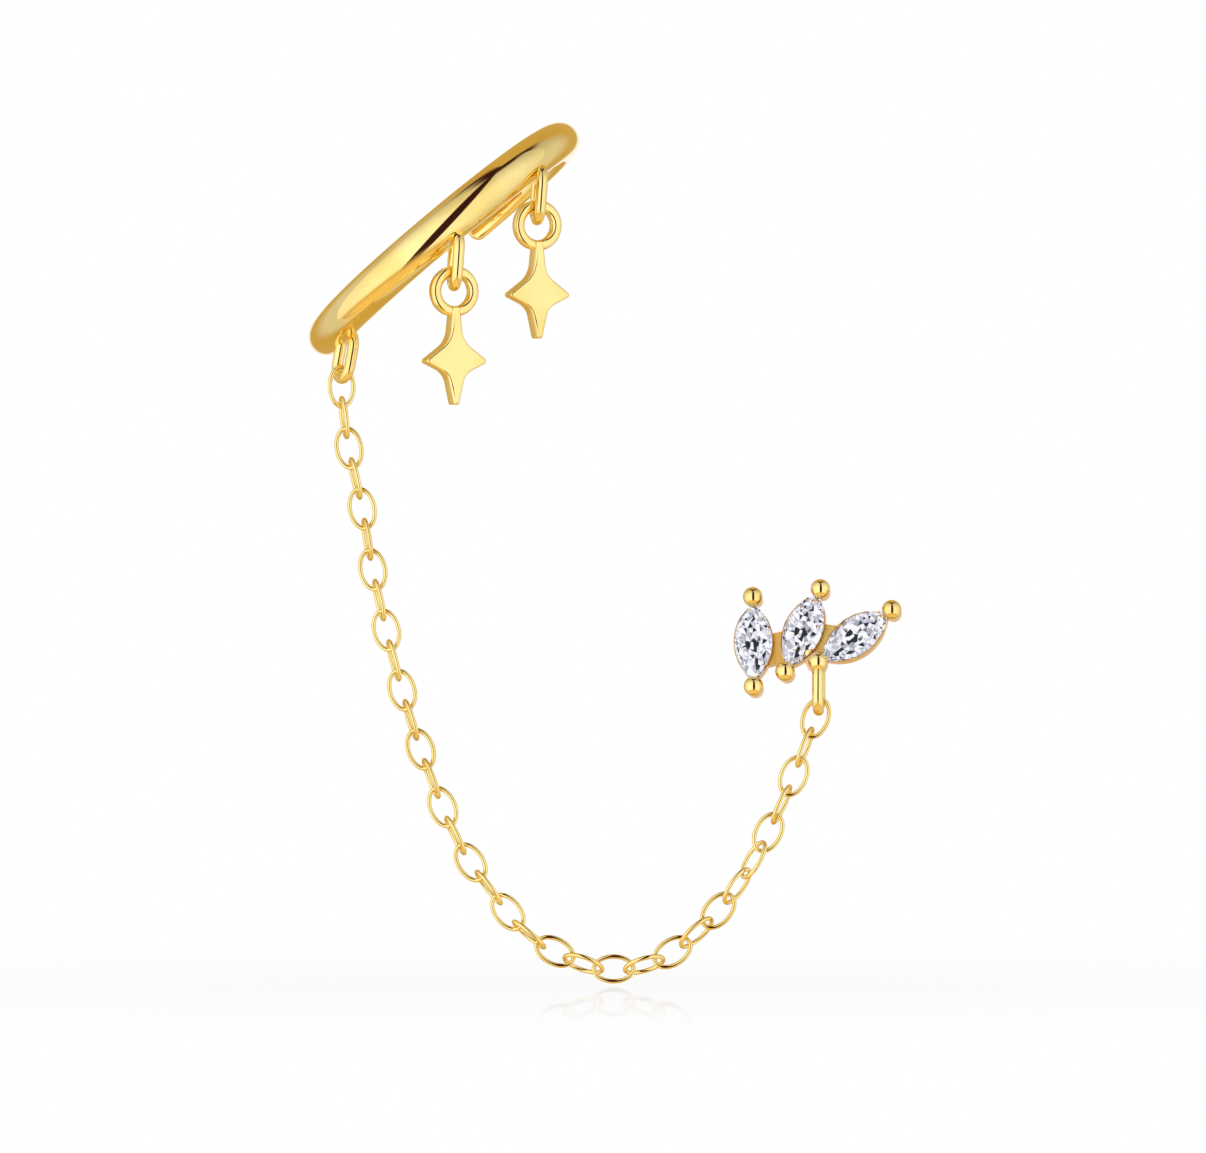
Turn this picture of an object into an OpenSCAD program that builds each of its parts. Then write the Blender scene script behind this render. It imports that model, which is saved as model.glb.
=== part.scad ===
// Ear chain earring: an open cuff with two star charms, a cable chain and a three-stone stud.
// Millimetres. Seen from the front: X to the right, Y away from the viewer, Z up.
// The origin is the middle of the cuff's ring, where it grips the rim of the ear.

/* [Ear cuff] */
// Inside diameter of the open ring
cuff_inner_d = 10.7; // [9.5:0.1:13]
// Width of the band at the middle of its front
band_front_w = 1.55; // [1.2:0.05:2]
// Width of the band at the back of the ring
band_back_w = 1.13; // [0.95:0.01:1.5]
// Thickness of the band at the middle of its front
band_front_t = 1.2; // [0.9:0.05:1.6]
// Thickness of the band at the back of the ring
band_back_t = 0.85; // [0.7:0.05:1.2]
// Corner radius of the band's two free ends, seen on the flat
band_end_r = 0.4; // [0.2:0.05:0.45]
// Angle from the front middle round to the left free end
cuff_left_angle = 112; // [95:1:125]
// Angle from the front middle round to the right free end
cuff_right_angle = 171; // [140:1:174]
// Slope of the ring, which rises to the right
cuff_slope = 40; // [30:0.5:48]
// Nod of the ring, which sets its back lower than its front
cuff_nod = 2.5; // [0:0.5:5]

/* [Bails] */
// Wire diameter of the four bails
bail_wire = 0.43; // [0.3:0.01:0.46]
// Clear width inside the two chain bails
chain_bail_slot = 0.7; // [0.6:0.05:0.9]
// How far the star bails reach below the band
star_bail_hang = 1.84; // [1.7:0.02:2.2]
// How far the chain bails reach below the metal that holds them
chain_bail_hang = 1.66; // [1.6:0.02:2.2]
// How deep the top of every bail is soldered in
bail_solder = 0.5; // [0.35:0.01:0.5]
// Angle round the cuff from its front middle to the first star bail
star_1_angle = 2.5; // [-5:0.5:10]
// Angle round the cuff from its front middle to the second star bail
star_2_angle = 46; // [42:0.5:60]
// Angle round the cuff from its front middle to the chain bail
chain_bail_angle = -62.5; // [-70:0.5:-50]
// Turn of the star bails away from edge on
star_bail_turn = 9.5; // [0:0.5:15]
// Lean of the star bails to the left
star_bail_lean = 4; // [0:1:8]
// Turn of the cuff's chain bail away from edge on
chain_bail_turn = 25; // [0:1:28]
// Lean of the cuff's chain bail to the left
chain_bail_lean = 10; // [0:1:15]

/* [Star charms] */
// Outside diameter of the round eye
eye_d = 1.9; // [1.7:0.01:2.3]
// Width of the eye's ring from its hole to its outside
eye_wall = 0.4; // [0.3:0.01:0.45]
// Thickness of the eye's ring
eye_t = 0.5; // [0.4:0.01:0.55]
// Radius of the ring's rounded edges
eye_edge_r = 0.12; // [0.08:0.01:0.14]
// Reach of the star to each side
star_side = 1.18; // [0.9:0.02:1.3]
// Reach of the star's upper arm
star_up = 2; // [1.6:0.05:2.4]
// Reach of the star's lower arm
star_down = 1.67; // [1.3:0.01:2.1]
// Thickness of the star plate
star_t = 0.7; // [0.5:0.05:0.8]
// Turn of the charms away from face on
charm_turn = 22; // [10:1:24]

/* [Chain] */
// Length of a link over its wire
link_len = 1.66; // [1.6:0.02:1.9]
// Width of a link over its wire
link_w = 1.1; // [1.04:0.02:1.3]
// Wire diameter of a link
link_wire = 0.17; // [0.14:0.01:0.2]

/* [Stones] */
// Length of a marquise stone
stone_len = 3; // [2.8:0.05:3.3]
// Width of a marquise stone
stone_w = 1.5; // [1.3:0.05:1.6]
// Height of the crown above the girdle
stone_crown = 0.26; // [0.15:0.01:0.3]
// Depth of the pavilion below the girdle
stone_pavilion = 0.62; // [0.5:0.01:0.7]
// Thickness of the girdle
stone_girdle = 0.05; // [0.02:0.01:0.08]
// Share of the stone's outline that its table takes
stone_table = 0.58; // [0.5:0.01:0.65]

/* [Stud] */
// Diameter of the ball on every prong
ball_d = 0.74; // [0.6:0.01:0.8]
// Diameter of the prong behind its ball
prong_d = 0.64; // [0.5:0.01:0.7]
// How far the middle of a prong stands outside the tip of its stone
prong_out = 0.19; // [0.1:0.01:0.25]
// How far the middle of a ball stands in front of the girdle
ball_front = 0.15; // [0.1:0.01:0.2]
// Distance from the middle of the girdle back to the front of the seats
seat_front = 0.3; // [0.28:0.01:0.4]
// Distance from the middle of the girdle to the back of the seats
seat_back = 1; // [0.9:0.02:1.3]
// Wall thickness of the open seats
seat_wall = 0.17; // [0.12:0.01:0.22]
// Thickness of the plate behind the middle stone, which carries the post
seat_floor = 0.18; // [0.12:0.01:0.2]
// Height of the bridges that join the three seats
bridge_h = 1.15; // [0.6:0.05:1.3]
// Diameter of the ear post
post_d = 0.75; // [0.6:0.05:1]
// Length of the straight part of the ear post
post_len = 9.5; // [8:0.5:12]
// Turn of the stud to the left
stud_turn = 4.5; // [0:0.5:10]
// Tilt of the stud upwards
stud_tilt = 7.5; // [0:0.5:12]

/* [Clearances] */
// Gap between an eye or an end link and the bail that carries it
hang_gap = 0.13; // [0.1:0.01:0.16]
// Gap on each side of an eye inside its bail
side_gap = 0.13; // [0.1:0.01:0.2]
// Gap between two neighbouring links
link_gap = 0.15; // [0.12:0.01:0.2]
// Gap between a stone and the metal round it
stone_gap = 0.05; // [0.03:0.01:0.07]

/* [Hidden] */
$fn = 48;
gold = [0.93, 0.73, 0.3];
clear_stone = [0.93, 0.95, 0.97];
overcut = 0.1;

// Cuff: radii, section and stations along the band
cuff_r = cuff_inner_d / 2;
shoulder_share = 0.3;
flatness = 0.5;
section_sides = 20;
band_steps = 56;
end_steps = 5;
end_round = 0.22;
bail_seat_share = 0.45;
arc_r = cuff_r + band_front_t / 2;
arc_len = arc_r * (cuff_left_angle + cuff_right_angle) * PI / 180;

// Star outline, right half from the top down: reach to the side as a share of star_side,
// height as a share of star_up or star_down, corner radius as a share of star_side
STAR_OUTLINE = [
    [0.115, 1, 0.05],
    [0.23, 0.36, 0.75],
    [1.09, -0.034, 0.095],
    [0.3, -0.31, 0.54],
    [0.085, -1, 0.07]
];
corner_steps = 8;
eye_overlap = 0.02;
eye_r = (eye_d - eye_wall) / 2;
eye_hole_r = eye_r - eye_wall / 2;
eye_drop = eye_hole_r - hang_gap - bail_wire / 2;
star_drop = eye_hole_r + eye_overlap + star_up;

// Chain: points chosen by hand along its hang, from the bar of the cuff's chain bail
CHAIN_ROUTE = [
    [0, 0], [0.05, -1], [0.3, -2.7], [0.8, -5], [1.2, -7.3], [2, -10.7], [3, -14],
    [4.3, -17.2], [5.6, -19.2], [7.2, -21], [9.2, -22], [10.4, -22.15],
    [11.5, -21.95], [12.6, -21.4], [14.2, -19.9], [15.5, -18], [16.6, -15.8],
    [17.4, -13.8], [17.9, -12.45]
];
// Roll of the links about the chain: first link of the stretch, its odd links, its even links
LINK_ROLL = [
    [1, -20, 78],
    [2, 8, 78],
    [21, 0, 58],
    [28, 120, 58],
    [30, 255, 182]
];
route_steps = 12;
half_l = (link_len - link_wire) / 2;
half_w = (link_w - link_wire) / 2;

// The four arcs of an oval link join on lines that slope by 3 in 4
join_angle = atan(3 / 4);
arc_shift = (half_l - half_w) / (3 / 5 + 4 / 5 - 1);
end_r = half_l - arc_shift * 3 / 5;
side_r = half_w + arc_shift * 4 / 5;

// Stones: where facet corners stand along a side, as shares of its length, and how far the
// middle rows of the crown and of the pavilion reach, as shares of their heights and outline
TABLE_PLACES = [-1, -0.5, 0, 0.5, 1];
FACET_PLACES = [-0.75, -0.25, 0.25, 0.75];
GIRDLE_PLACES = [for (k = [-4:4]) k / 4];
KEEL_PLACES = [-1, 1];
kite_height = 0.58;
main_depth = 0.56;
main_share = 0.5;
keel_share = 0.12;

// Stud: place of each stone as shares of stone_w and stone_len, and its lean to the right
FAN = [
    [-1.24, -0.143, -1],
    [0, 0, 22.6],
    [1.307, -0.07, 54.5]
];
left_bridge_drop = 0.13;
right_bridge_drop = 0.07;
tip_walls = 2;
notch_front = 0.2;
stone_a = stone_len / 2;
stone_b = stone_w / 2;
seat_trim = 0.02;
prong_reach = stone_a + prong_out;
post_tip = post_d / 4;
post_side = 0.13;

function turn_x(p, a) = [p.x, p.y * cos(a) - p.z * sin(a), p.y * sin(a) + p.z * cos(a)];
function turn_y(p, a) = [p.x * cos(a) + p.z * sin(a), p.y, p.z * cos(a) - p.x * sin(a)];
function turn_z(p, a) = [p.x * cos(a) - p.y * sin(a), p.x * sin(a) + p.y * cos(a), p.z];

// Band section at an angle from the front middle: it narrows and thins towards the back
function back_share(a) = pow((1 - cos(a)) / 2, 2);
function band_w(a) = band_front_w + (band_back_w - band_front_w) * back_share(a);
function band_t(a) = band_front_t + (band_back_t - band_front_t) * back_share(a);

// What a rounded end of radius r takes off each side at a distance s from the end
function end_cut(s, r) = s >= r ? 0 : r - sqrt(r * r - pow(r - s, 2));

// Distances along the band, closer together where the ends round off
function band_stations() = concat(
    [for (k = [0:end_steps]) band_end_r * (1 - cos(90 * k / end_steps))],
    [for (k = [1:band_steps - 1]) band_end_r + (arc_len - 2 * band_end_r) * k / band_steps],
    [for (k = [end_steps:-1:0]) arc_len - band_end_r * (1 - cos(90 * k / end_steps))]
);

// One section: a dome outside and a flat face with rounded corners inside
function band_section(s) =
    let (a = s / arc_len * (cuff_left_angle + cuff_right_angle) - cuff_left_angle)
    let (near = min(s, arc_len - s))
    let (cut = end_cut(near, end_round))
    let (half = band_w(a) / 2 - end_cut(near, band_end_r))
    let (t = band_t(a) - 2 * cut)
    let (shoulder = cuff_r + cut + t * shoulder_share)
    [for (k = [0:section_sides - 1])
        let (c = cos(360 * k / section_sides))
        let (q = sin(360 * k / section_sides))
        let (out = c > 0 ? c * (1 - shoulder_share) : -pow(-c, flatness) * shoulder_share)
        let (across = c > 0 ? q : sign(q) * pow(abs(q), flatness))
        let (r = shoulder + t * out)
        [r * sin(a), -r * cos(a), half * across]];

module band() {
    stations = band_stations();
    n = section_sides;
    last = len(stations) - 1;
    points = [for (s = stations) each band_section(s)];
    sides = [for (i = [0:last - 1]) for (k = [0:n - 1])
        [i * n + k, i * n + (k + 1) % n, (i + 1) * n + (k + 1) % n, (i + 1) * n + k]];
    start_cap = [for (k = [n - 1:-1:0]) k];
    end_cap = [for (k = [0:n - 1]) last * n + k];
    polyhedron(points, concat(sides, [start_cap, end_cap]));
}

// From the ring's own frame to the part's frame
function on_cuff(p) = turn_y(turn_x(p, -cuff_nod), -cuff_slope);

// Where the underside of the band carries a bail
function bail_root(a) =
    let (r = cuff_r + band_t(a) * bail_seat_share)
    on_cuff([r * sin(a), -r * cos(a), -band_w(a) / 2]);

// Middle of the bar at the bottom of a bail
function bail_bar(root, hang, lean) = root + turn_y([0, 0, bail_wire / 2 - hang], lean);

module wire_arc(r, wire, from, sweep) {
    rotate([0, 0, from])
        rotate_extrude(angle = sweep)
            translate([r, 0])
                circle(d = wire);
}

// A closed loop of wire in the XZ plane with round ends, its outer top at bail_solder
module bail(slot, hang) {
    r = (slot + bail_wire) / 2;
    top = bail_solder - bail_wire / 2 - r;
    bottom = bail_wire / 2 - hang + r;
    translate([0, 0, top])
        rotate([90, 0, 0])
            wire_arc(r, bail_wire, 0, 180);
    translate([0, 0, bottom])
        rotate([90, 0, 0])
            wire_arc(r, bail_wire, 180, 180);
    for (side = [-1, 1])
        translate([side * r, 0, bottom])
            cylinder(d = bail_wire, h = top - bottom);
}

module star_bail(a) {
    translate(bail_root(a))
        rotate([0, star_bail_lean, 0])
            rotate([0, 0, star_bail_turn - 90])
                bail(eye_t + 2 * side_gap, star_bail_hang);
}

module ear_cuff() {
    color(gold) {
        rotate([0, -cuff_slope, 0])
            rotate([-cuff_nod, 0, 0])
                band();
        star_bail(star_1_angle);
        star_bail(star_2_angle);
        translate(bail_root(chain_bail_angle))
            rotate([0, chain_bail_lean, 0])
                rotate([0, 0, chain_bail_turn - 90])
                    bail(chain_bail_slot, chain_bail_hang);
    }
}

// Points that round one corner of an outline with a radius
function corner(before, at, after, r) =
    let (u = (before - at) / norm(before - at))
    let (v = (after - at) / norm(after - at))
    let (half = acos(u * v) / 2)
    let (centre = at + (u + v) / norm(u + v) * r / sin(half))
    let (from = at + u * r / tan(half) - centre)
    let (sweep = (180 - 2 * half) * (cross(u, v) > 0 ? -1 : 1))
    [for (k = [0:corner_steps])
        let (a = sweep * k / corner_steps)
        centre + [from.x * cos(a) - from.y * sin(a), from.x * sin(a) + from.y * cos(a)]];

function star_corner(row, side) =
    [side * row[0] * star_side, row[1] * (row[1] > 0 ? star_up : star_down), row[2] * star_side];

function star_corners() =
    let (last = len(STAR_OUTLINE) - 1)
    concat(
        [for (k = [0:last]) star_corner(STAR_OUTLINE[k], 1)],
        [for (k = [last:-1:0]) star_corner(STAR_OUTLINE[k], -1)]
    );

module star_plate() {
    rows = star_corners();
    n = len(rows);
    flat = [for (row = rows) [row.x, row.y]];
    outline = [for (k = [0:n - 1])
        each corner(flat[(k + n - 1) % n], flat[k], flat[(k + 1) % n], rows[k][2])];
    rotate([90, 0, 0])
        linear_extrude(star_t, center = true)
            polygon(outline);
}

module rounded_square(w, h, r) {
    square([w - 2 * r, h], center = true);
    square([w, h - 2 * r], center = true);
    for (x = [r - w / 2, w / 2 - r])
        for (y = [r - h / 2, h / 2 - r])
            translate([x, y])
                circle(r);
}

// A charm with its own origin at the middle of the bail's bar, on which it swings
module star_charm() {
    translate([0, 0, -eye_drop])
        rotate([0, 0, charm_turn]) {
            rotate([90, 0, 0])
                rotate_extrude()
                    translate([eye_r, 0])
                        rounded_square(eye_wall, eye_t, eye_edge_r);
            translate([0, 0, -star_drop])
                star_plate();
        }
}

module hung_charm(a) {
    color(gold)
        translate(bail_bar(bail_root(a), star_bail_hang, star_bail_lean))
            star_charm();
}

// Curve through the route's points, and the same curve by distance along it
function route_knot(k) = CHAIN_ROUTE[max(0, min(len(CHAIN_ROUTE) - 1, k))];
function route_at(t) =
    let (k = min(floor(t), len(CHAIN_ROUTE) - 2))
    let (f = t - k)
    let (a = route_knot(k - 1))
    let (b = route_knot(k))
    let (c = route_knot(k + 1))
    let (d = route_knot(k + 2))
    b + f * (c - a) / 2 + f * f * (a - 2.5 * b + 2 * c - d / 2)
        + f * f * f * (1.5 * b - a / 2 - 1.5 * c + d / 2);
route_samples = [for (k = [0:(len(CHAIN_ROUTE) - 1) * route_steps]) route_at(k / route_steps)];
route_table = [for (k = 0, s = 0; k < len(route_samples);
    s = s + norm(route_samples[min(k + 1, len(route_samples) - 1)] - route_samples[k]), k = k + 1)
    [s, route_samples[k]]];
route_x = [for (row = route_table) [row[0], row[1].x]];
route_z = [for (row = route_table) [row[0], row[1].y]];
route_len = route_table[len(route_table) - 1][0];

// Links: the first and last hang on their bails, and the rest share the way between them
first_at = half_l - (link_wire + bail_wire) / 2 - hang_gap;
last_at = route_len - first_at;
link_count = round((last_at - first_at) / (link_len - 2 * link_wire - link_gap)) + 1;
link_step = (last_at - first_at) / (link_count - 1);
route_start = bail_bar(bail_root(chain_bail_angle), chain_bail_hang, chain_bail_lean);
route_end = route_start + [CHAIN_ROUTE[len(CHAIN_ROUTE) - 1].x, 0, CHAIN_ROUTE[len(CHAIN_ROUTE) - 1].y];

function on_route(s) = [lookup(s, route_x), 0, lookup(s, route_z)];
function link_roll(i) =
    let (reached = [for (row = LINK_ROLL) if (row[0] <= i) row])
    reached[len(reached) - 1][i % 2 == 1 ? 1 : 2];
function link_name(i) = str("link_", i < 10 ? "0" : "", i);

// An oval link in the XZ plane, its length along Z
module oval_link() {
    rotate([90, 0, 0])
        for (half = [0, 180])
            rotate([0, 0, half]) {
                translate([0, half_l - end_r]) {
                    wire_arc(end_r, link_wire, join_angle, 90 - join_angle);
                    wire_arc(end_r, link_wire, 90, 90 - join_angle);
                }
                translate([half_w - side_r, 0]) {
                    wire_arc(side_r, link_wire, 0, join_angle);
                    wire_arc(side_r, link_wire, -join_angle, join_angle);
                }
            }
}

module chain_link(i) {
    s = first_at + (i - 1) * link_step;
    along = on_route(s + link_step / 2) - on_route(s - link_step / 2);
    color(gold)
        translate(route_start + on_route(s))
            rotate([0, atan2(along.x, along.z), 0])
                rotate([0, 0, link_roll(i)])
                    oval_link();
}

// Point k of n along one side of a marquise outline, from one tip to the other
function marquise_point(a, b, f, side) =
    let (r = (a * a + b * b) / (2 * b))
    let (q = asin(a / r) * f)
    [side * (r * cos(q) - (r - b)), r * sin(q)];

// Facet corners of the stone: share of its outline, height in front of the girdle's middle,
// and the shares of a side's length where the corners stand
function stone_ring(share, front, places) =
    [for (side = [-1, 1]) for (f = places)
        let (p = marquise_point(stone_a, stone_b, f, side) * share)
        [p.x, -front, p.y]];

module stone() {
    half_girdle = stone_girdle / 2;
    table = stone_ring(stone_table, half_girdle + stone_crown, TABLE_PLACES);
    kites = stone_ring((1 + stone_table) / 2, half_girdle + stone_crown * kite_height, FACET_PLACES);
    girdle_front = stone_ring(1, half_girdle, GIRDLE_PLACES);
    girdle_back = stone_ring(1, -half_girdle, GIRDLE_PLACES);
    mains = stone_ring(main_share, -half_girdle - stone_pavilion * main_depth, FACET_PLACES);
    keel = stone_ring(keel_share, -half_girdle - stone_pavilion, KEEL_PLACES);
    points = concat(table, kites, girdle_front, girdle_back, mains, keel);
    hull()
        polyhedron(points, [[for (k = [0:len(points) - 1]) k]]);
}

// Middle of a stone of the fan, in the stud's own frame
function fan_place(row) = [row[0] * stone_w, 0, row[1] * stone_len];

module in_fan(row) {
    translate(fan_place(row))
        rotate([0, row[2], 0])
            children();
}

// A flat shape of the XZ plane made solid from one depth behind the girdle to another
module slab(from, to) {
    translate([0, to, 0])
        rotate([90, 0, 0])
            linear_extrude(to - from)
                children();
}

module marquise(a, b) {
    r = (a * a + b * b) / (2 * b);
    intersection() {
        translate([r - b, 0])
            circle(r = r, $fn = 96);
        translate([b - r, 0])
            circle(r = r, $fn = 96);
    }
}

module seat_block(row) {
    in_fan(row)
        slab(seat_front, seat_back)
            marquise(stone_a - seat_trim, stone_b - seat_trim);
}

module seat_hollow(row, to) {
    in_fan(row)
        slab(seat_front - overcut, to)
            marquise(stone_a - seat_trim - tip_walls * seat_wall, stone_b - seat_trim - seat_wall);
}

module prongs(row) {
    for (end = [-1, 1])
        in_fan(row)
            translate([0, -ball_front, end * prong_reach]) {
                sphere(d = ball_d);
                rotate([-90, 0, 0])
                    cylinder(d = prong_d, h = seat_back + ball_front);
            }
}

module stone_notch(row) {
    in_fan(row)
        slab(-notch_front, seat_front)
            marquise(stone_a + stone_gap, stone_b + stone_gap);
}

// A bridge from the middle of one stone to the next, which the hollows then cut back
module bridge(row, next, drop) {
    from = fan_place(row);
    way = fan_place(next) - from;
    translate(from + way / 2 - [0, 0, drop * stone_len])
        rotate([0, -atan2(way.z, way.x), 0])
            slab(seat_front, seat_back)
                square([norm(way), bridge_h], center = true);
}

module seats() {
    difference() {
        union() {
            for (row = FAN) {
                seat_block(row);
                prongs(row);
            }
            bridge(FAN[0], FAN[1], left_bridge_drop);
            bridge(FAN[1], FAN[2], right_bridge_drop);
        }
        seat_hollow(FAN[0], seat_back + overcut);
        seat_hollow(FAN[1], seat_back - seat_floor);
        seat_hollow(FAN[2], seat_back + overcut);
        for (row = FAN)
            stone_notch(row);
    }
}

// The post stands on the floor of the middle seat, a little to the left of its middle
module post() {
    in_fan(FAN[1])
        translate([-post_side * stone_w, seat_back - seat_floor / 2, 0])
            rotate([-90, 0, 0]) {
                cylinder(d = post_d, h = seat_floor / 2 + post_len);
                translate([0, 0, seat_floor / 2 + post_len])
                    cylinder(d1 = post_d, d2 = post_d - 2 * post_tip, h = post_tip);
            }
}

// The stud's bail hangs on the lower prong of the last stone
function stud_prong() = fan_place(FAN[2]) - prong_reach * [sin(FAN[2][2]), 0, cos(FAN[2][2])];
stud_bail_depth = (bail_wire + chain_bail_slot) / 2 - ball_front;
stud_bail_root = stud_prong() + [0, stud_bail_depth, -prong_d / 2];
stud_bar = bail_bar(stud_bail_root, chain_bail_hang, 0);

// From the stud's own frame to the part's frame: the bail's bar meets the end of the chain
function in_stud(p) = turn_z(turn_x(p, -stud_tilt), -stud_turn);
stud_place = route_end - in_stud(stud_bar);

module at_stud() {
    translate(stud_place)
        rotate([0, 0, -stud_turn])
            rotate([-stud_tilt, 0, 0])
                children();
}

module stud_setting() {
    color(gold)
        at_stud() {
            seats();
            post();
            translate(stud_bail_root)
                rotate([0, 0, -90])
                    bail(chain_bail_slot, chain_bail_hang);
        }
}

module set_stone(row) {
    color(clear_stone)
        at_stud()
            in_fan(row)
                stone();
}

ear_cuff();
hung_charm(star_1_angle);  // star_charm_1
hung_charm(star_2_angle);  // star_charm_2
stud_setting();
set_stone(FAN[0]);  // stone_1
set_stone(FAN[1]);  // stone_2
set_stone(FAN[2]);  // stone_3
for (i = [1:link_count])
    chain_link(i);
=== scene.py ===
"""Looks of the ear chain earring: polished metal, linked chain, cut stones, floor and camera.

Laid out as a Blender add-on and run as a script over the packed part. Every length is in
metres, in the part's own frame: X right, Y away from the viewer, Z up.
"""

import math
import random

import bmesh
import bpy
from bpy.props import FloatProperty, FloatVectorProperty, IntProperty, PointerProperty
from mathutils import Matrix, Vector
from mathutils.geometry import delaunay_2d_cdt


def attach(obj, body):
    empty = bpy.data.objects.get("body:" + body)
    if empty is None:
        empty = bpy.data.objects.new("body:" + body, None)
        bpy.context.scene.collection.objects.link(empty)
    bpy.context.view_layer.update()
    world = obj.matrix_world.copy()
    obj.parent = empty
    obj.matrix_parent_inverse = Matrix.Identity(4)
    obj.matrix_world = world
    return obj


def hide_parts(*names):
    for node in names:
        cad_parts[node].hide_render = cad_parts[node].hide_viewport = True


bl_info = {
    "name": "Ear chain earring",
    "version": (1, 0, 0),
    "blender": (4, 5, 0),
    "location": "3D View > Sidebar > Earring",
    "description": "Builds the metal, chain, stones and stage of an ear chain earring",
    "category": "Object",
}

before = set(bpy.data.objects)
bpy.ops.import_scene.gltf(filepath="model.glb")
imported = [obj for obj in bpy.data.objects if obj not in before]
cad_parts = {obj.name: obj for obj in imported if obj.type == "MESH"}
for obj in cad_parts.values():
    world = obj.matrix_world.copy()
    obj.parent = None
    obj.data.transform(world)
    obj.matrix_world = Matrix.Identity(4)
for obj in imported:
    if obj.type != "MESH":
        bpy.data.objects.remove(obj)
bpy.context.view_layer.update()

MM = 0.001
FIXED_BODY = "ear_chain"

# Star outline, right half from the top down: reach to the side as a share of the side reach,
# height as a share of the upper or lower reach, corner radius as a share of the side reach
STAR_OUTLINE = [
    (0.115, 1, 0.05),
    (0.23, 0.36, 0.75),
    (1.09, -0.034, 0.095),
    (0.3, -0.31, 0.54),
    (0.085, -1, 0.07),
]

# Hang of the chain in millimetres, from the bar of the cuff's chain bail
CHAIN_ROUTE = [
    (0, 0), (0.05, -1), (0.3, -2.7), (0.8, -5), (1.2, -7.3), (2, -10.7), (3, -14),
    (4.3, -17.2), (5.6, -19.2), (7.2, -21), (9.2, -22), (10.4, -22.15),
    (11.5, -21.95), (12.6, -21.4), (14.2, -19.9), (15.5, -18), (16.6, -15.8),
    (17.4, -13.8), (17.9, -12.45),
]

# Roll of the links about the chain: first link of the stretch, its odd links, its even links
LINK_ROLL = [(1, -20, 78), (2, 8, 78), (21, 0, 58), (28, 120, 58), (30, 255, 182)]

# Place of each stone as shares of a stone's width and length, and its lean in degrees
FAN = [(-1.24, -0.143, -1), (0, 0, 22.6), (1.307, -0.07, 54.5)]

# Bridges between the stones' seats: from and to, and the drop as a share of a stone's length
BRIDGES = [(0, 1, 0.13), (1, 2, 0.07)]

# Inside each stone, the share of its outline that the reflecting facets take, and the flat
# ones among them that return the dark of the tent's opening: x to the right and z up from
# the stone's middle, in millimetres
BRILLIANCE_SHARE, FACET_SEED = 0.93, 11
DARK_FACETS = [
    [(-0.32, 0.0), (-0.2, 0.03), (-0.1, -0.01), (-0.1, -0.18), (-0.2, -0.33), (-0.27, -0.2)],
    [(0.0, -0.02), (0.14, 0.02), (0.23, -0.06), (0.13, -0.2), (0.14, -0.42), (0.02, -0.28)],
    [(-0.7, -0.03), (-0.62, 0.07), (-0.52, -0.04), (-0.6, -0.15)],
    [(0.06, -0.64), (0.18, -0.62), (0.17, -0.84), (0.22, -1.02), (0.1, -1.08), (0.06, -0.86)],
    [(-0.4, 0.68), (-0.3, 0.73), (-0.31, 0.58)],
    [(0.0, 0.9), (0.09, 0.84), (0.01, 0.78)],
    [(0.48, 0.62), (0.55, 0.55), (0.46, 0.5)],
]

# Studio panels round the object: left, right, low and high edge in degrees, and brightness.
# Azimuth 0 faces the object's front, and positive goes to the right.
PANELS = [
    (-104, -8, -46, 72, 1.25),
    (20, 104, -46, 72, 1.12),
    (100, 150, -95, 60, 0.95),
    (-150, -100, -95, 60, 0.9),
    (146, 190, -95, 60, 0.6),
    (-190, -146, -95, 60, 0.6),
]

# Where the panels dim, from and to in degrees, and by what share
DIM_UPWARDS = (10, 75, 0.42)
DIM_ASIDE = (45, 105, 0.2)

# Soft edges of the warm light from below and behind, and of the white strip that keeps the
# floor's mirror white: heights and azimuths in degrees, forward as a share of the direction
BELOW_HEIGHT, BELOW_FORWARD = (-62, -26), (-0.35, 0.05)
BEHIND = (118, 150)
LEVEL_HEIGHT, LEVEL_FORWARD = (12, 18), (-0.93, -0.97)

WHITE = (1, 1, 1)
ROOM_LIGHT = (0.045, 0.014, 0.02)
WARM_BOUNCE = (0.97, 0.7, 0.3)
BACK_BOUNCE = (0.62, 0.43, 0.14)

# The stones' tent: its cloud's range and colours, and its dark opening's direction and edge
TENT_CLOUD, TENT_DIM, TENT_BRIGHT = (0.38, 0.6), (0.42, 0.42, 0.46), (1.04, 1.04, 1.08)
TENT_OPENING, OPENING_DARK = (-0.151, -0.954, 0.259), (0.03, 0.035, 0.04)
TENT_SCALE, OPENING_EDGE = 2.6, (14, 11)


def size(name, millimetres, text):
    """A length property, given in millimetres and kept in metres."""
    return FloatProperty(
        name=name, description=text, default=millimetres * MM, unit="LENGTH", precision=5
    )


def angle(name, degrees, text):
    """An angle property, given in degrees and kept in radians."""
    return FloatProperty(
        name=name, description=text, default=math.radians(degrees), subtype="ANGLE"
    )


def colour(name, value, text):
    """A colour property."""
    return FloatVectorProperty(
        name=name, description=text, default=value, size=3, min=0, max=1, subtype="COLOR"
    )


def share(name, value, text):
    """A plain number between 0 and 1."""
    return FloatProperty(
        name=name, description=text, default=value, min=0, max=1, subtype="FACTOR"
    )


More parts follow.
